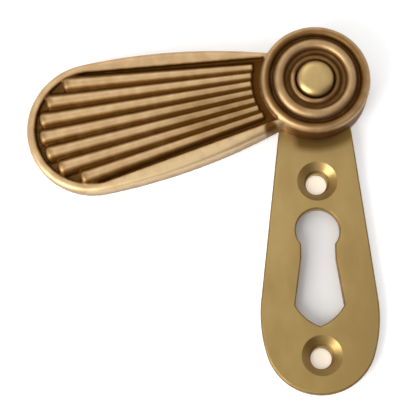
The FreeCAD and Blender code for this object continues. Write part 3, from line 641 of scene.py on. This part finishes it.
# Cover: cast brass rubbed bright on its crests, brown in its valleys, with the painted shade and
# painted light kept on its vertices
aged_and_shaded, tree, shader = brass("aged_and_shaded_brass_cover", CREST_TONE, 0.36)
kept = node(tree, "Attribute", attribute_name="tarnish_and_shade")
amount = node(tree, "Math", operation="ADD")
tree.links.new(kept.outputs["Fac"], amount.inputs[0])
join(tree, spread(tree, noise(tree, (0.45, 0.45, 0.45)), 0.3, 0.7, -0.07, 0.07), amount, 1)
base = tones(tree, amount, (0.0, PALE_TONE), (0.15, CREST_TONE), (0.5, FLANK_TONE), (0.92, VALLEY_TONE))
join(tree, base, shader, "Base Color")
join(tree, spread(tree, amount, 0.0, 1.0, 0.46, 0.66), shader, "Roughness")
roughen(tree, shader, noise(tree, (1.6, 1.6, 1.6)), 0.02)

# Knob of the rivet: rubbed brighter than the rest
polished, tree, shader = brass("rivet_brass_knob", KNOB_TONE, 0.41)
base = tones(tree, noise(tree, (0.5, 0.5, 0.5)), (0.3, KNOB_TONE), (0.7, KNOB_PALE_TONE))
join(tree, base, shader, "Base Color")
roughen(tree, shader, noise(tree, (1.2, 1.2, 1.2)), 0.01)

for piece, material, body, nodes, slot in (
        (plate, satin, "plate", "backplate", "satin_brass"),
        (cover, aged_and_shaded, "cover", "swing_cover", "aged_brass"),
        (rivet, polished, "plate", "pivot_rivet", "rivet_brass")):
    piece.data.materials.clear()
    piece.data.materials.append(material)
    if piece == plate:
        piece.data.materials.append(dull)
        # The plate's sides and the walls of its holes take the painted shade of the edge material
        for face in piece.data.polygons:
            place_mm = face.center / MM
            in_countersink = any(
                COUNTERSINK_FOOT - 0.02 < math.hypot(place_mm.x - COUNTERSINK_SHIFT[0],
                                                     place_mm.z - COUNTERSINK_SHIFT[1] + drop)
                < COUNTERSINK_RADIUS + 0.02 for drop in SCREW_DROPS)
            if abs(face.normal.y) < 0.95 and not in_countersink:
                face.material_index = 1
    only(piece)
    bpy.ops.object.shade_smooth_by_angle(angle=math.radians(35))
    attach(piece, body)
    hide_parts(nodes)


# Stage: the wall, and the cards of painted shade and painted reflection that show through the plate's
# holes
WALL_TONE = (0.86, 0.86, 0.86)
WALL_GLOW = 0.27
WALL_PLACE = 0.4
DOOR_PLACE = 0.2
# Grey of the painted shade seen through the keyhole
KEYHOLE_SHADE_TONE = (0.63, 0.62, 0.61)
# Painted reflection of the brass inside the screw holes: cream cards that glow a little, the lower one
# darker
SCREW_REFLECTION_TONES = ((0.88, 0.74, 0.56), (0.72, 0.61, 0.47))
SCREW_REFLECTION_GLOW = 0.2
# Rays shorter than this pass the wall, so that it doesn't darken the object's back
NEAR_BACK = 8.0
SKY_STRENGTH = 0.85
FLAG_SHADE = 0.18
LAMP_TARGET = Vector((-20, 0, -20))
# Where a dark card would stand, low on the right, so that the brass has something dark to show
FLAG_DIRECTION = (0.75, -0.15, -0.64)


def one_sided(name, colour, glow_strength, camera_only=False):
    """Matt pale surface that is seen only from its front, and that camera, glossy and
    transmitted rays see a little brighter than it lights the object. Short rays pass it, or all
    rays but the camera's."""
    paint = bpy.data.materials.new(name)
    paint.use_nodes = True
    tree = paint.node_tree
    tree.nodes.clear()
    matt = node(tree, "BsdfDiffuse", Color=(*colour, 1))
    glow = node(tree, "Emission", Color=(1, 1, 1, 1), Strength=glow_strength)
    lit = node(tree, "AddShader")
    tree.links.new(matt.outputs[0], lit.inputs[0])
    tree.links.new(glow.outputs[0], lit.inputs[1])
    seen = node(tree, "MixShader")
    join(tree, seeing_rays(tree), seen, "Fac")
    tree.links.new(matt.outputs[0], seen.inputs[1])
    tree.links.new(lit.outputs[0], seen.inputs[2])
    clear = node(tree, "BsdfTransparent")
    side = node(tree, "NewGeometry")
    path = node(tree, "LightPath")
    passed = node(tree, "Math", operation="LESS_THAN")
    passed.inputs[1].default_value = 0.5 if camera_only else NEAR_BACK * MM
    tree.links.new(path.outputs["Is Camera Ray" if camera_only else "Ray Length"], passed.inputs[0])
    hidden = node(tree, "Math", operation="MAXIMUM")
    tree.links.new(side.outputs["Backfacing"], hidden.inputs[0])
    join(tree, passed, hidden, 1)
    front_only = node(tree, "MixShader")
    join(tree, hidden, front_only, "Fac")
    tree.links.new(seen.outputs[0], front_only.inputs[1])
    tree.links.new(clear.outputs[0], front_only.inputs[2])
    join(tree, front_only, node(tree, "OutputMaterial"), "Surface")
    return paint


def seeing_rays(tree):
    """One for camera, glossy and transmitted rays."""
    rays = node(tree, "LightPath")
    total = node(tree, "Math", operation="ADD")
    tree.links.new(rays.outputs["Is Camera Ray"], total.inputs[0])
    tree.links.new(rays.outputs["Is Glossy Ray"], total.inputs[1])
    every = node(tree, "Math", operation="ADD", use_clamp=True)
    join(tree, total, every, 0)
    tree.links.new(rays.outputs["Is Transmission Ray"], every.inputs[1])
    return every


def stage_plane(name, size_mm, place_mm, material):
    """Flat card that faces the camera, part of the stage."""
    bpy.ops.object.select_all(action="DESELECT")
    bpy.ops.mesh.primitive_plane_add(size=1.0, rotation=(math.radians(90), 0, 0))
    card = bpy.context.object
    card.name = name
    width, height = size_mm
    only(card)
    card.scale = (width * MM, height * MM, 1)
    card.location = Vector(place_mm) * MM
    bpy.ops.object.transform_apply(location=True, rotation=True, scale=True)
    card.data.materials.append(material)


# White wall that the plate lies against, a card of painted shade behind the keyhole and cards of
# painted reflection behind the screw holes
stage_plane("wall", (3000, 3000), (0, WALL_PLACE, 0), one_sided("white_wall", WALL_TONE, WALL_GLOW))
stage_plane("shade_card_behind_keyhole", (11, 24), (0, DOOR_PLACE, -35.5),
            one_sided("shaded_door", KEYHOLE_SHADE_TONE, 0.0, camera_only=True))
# Cards of painted brass reflection behind the screw holes
for number, (drop, reflection_tone) in enumerate(zip(SCREW_DROPS, SCREW_REFLECTION_TONES), start=1):
    stage_plane(f"reflection_card_behind_screw_{number}", (6, 6), (0, DOOR_PLACE, -drop),
                one_sided(f"painted_reflection_door_{number}", reflection_tone, SCREW_REFLECTION_GLOW, camera_only=True))


# World and lamps: the sky, and the white that camera, glossy and transmitted rays see. Both have
# the dark card's patch, which is kept from the camera alone.
world = bpy.data.worlds.new("studio")
bpy.context.scene.world = world
world.use_nodes = True
tree = world.node_tree
tree.nodes.clear()
heading = node(tree, "TexCoord")
toward_flag = node(tree, "VectorMath", operation="DOT_PRODUCT")
tree.links.new(heading.outputs["Generated"], toward_flag.inputs[0])
toward_flag.inputs[1].default_value = FLAG_DIRECTION
flagged = node(tree, "MapRange", From_Min=0.65, From_Max=0.97, To_Min=1.0, To_Max=FLAG_SHADE)
tree.links.new(toward_flag.outputs["Value"], flagged.inputs["Value"])
sky = node(tree, "Background", Color=(1, 1, 1, 1))
join(tree, sums(tree, "MULTIPLY", flagged, SKY_STRENGTH), sky, "Strength")
rays = node(tree, "LightPath")
unflagged = node(tree, "Math", operation="MAXIMUM")
join(tree, flagged, unflagged, 0)
tree.links.new(rays.outputs["Is Camera Ray"], unflagged.inputs[1])
white = node(tree, "Background", Color=(1, 1, 1, 1))
join(tree, unflagged, white, "Strength")
pick = node(tree, "MixShader")
join(tree, seeing_rays(tree), pick, "Fac")
tree.links.new(sky.outputs[0], pick.inputs[1])
tree.links.new(white.outputs[0], pick.inputs[2])
join(tree, pick, node(tree, "OutputWorld"), "Surface")


def lamp(name, place_mm, size_mm, power):
    """Square soft lamp that faces the middle of the object."""
    light = bpy.data.lights.new(name, "AREA")
    light.shape = "SQUARE"
    light.size = size_mm * MM
    light.energy = power
    holder = bpy.data.objects.new(name, light)
    bpy.context.collection.objects.link(holder)
    holder.location = Vector(place_mm) * MM
    toward = LAMP_TARGET * MM - holder.location
    holder.rotation_euler = toward.to_track_quat("-Z", "Y").to_euler()


lamp("key_lower_left", (-230, -220, -220), 200, 0.94)
lamp("low_lower_left", (-300, -90, -220), 180, 0.82)
lamp("fill_upper_left", (-150, -300, 280), 300, 0.35)

# Camera: a little from below and from the right of the object
CAMERA_TARGET = Vector((-22.1, 0.0, -23.6))
CAMERA_DISTANCE = 280.0
CAMERA_PITCH = math.radians(13)
CAMERA_YAW = math.radians(1)
CAMERA_ROLL = math.radians(-0.6)
away = Vector((math.sin(CAMERA_YAW) * math.cos(CAMERA_PITCH),
               -math.cos(CAMERA_YAW) * math.cos(CAMERA_PITCH),
               -math.sin(CAMERA_PITCH)))
camera = bpy.data.objects.new("camera", bpy.data.cameras.new("camera"))
bpy.context.collection.objects.link(camera)
camera.location = (CAMERA_TARGET + away * CAMERA_DISTANCE) * MM
camera.rotation_euler = ((-away).to_track_quat("-Z", "Y").to_matrix()
                         @ Matrix.Rotation(CAMERA_ROLL, 3, "Z")).to_euler()
camera.data.sensor_fit = "VERTICAL"
camera.data.sensor_height = 36.0
camera.data.lens = 124.8
camera.data.clip_start = 0.01
bpy.context.scene.camera = camera
bpy.context.scene.view_settings.view_transform = "Standard"
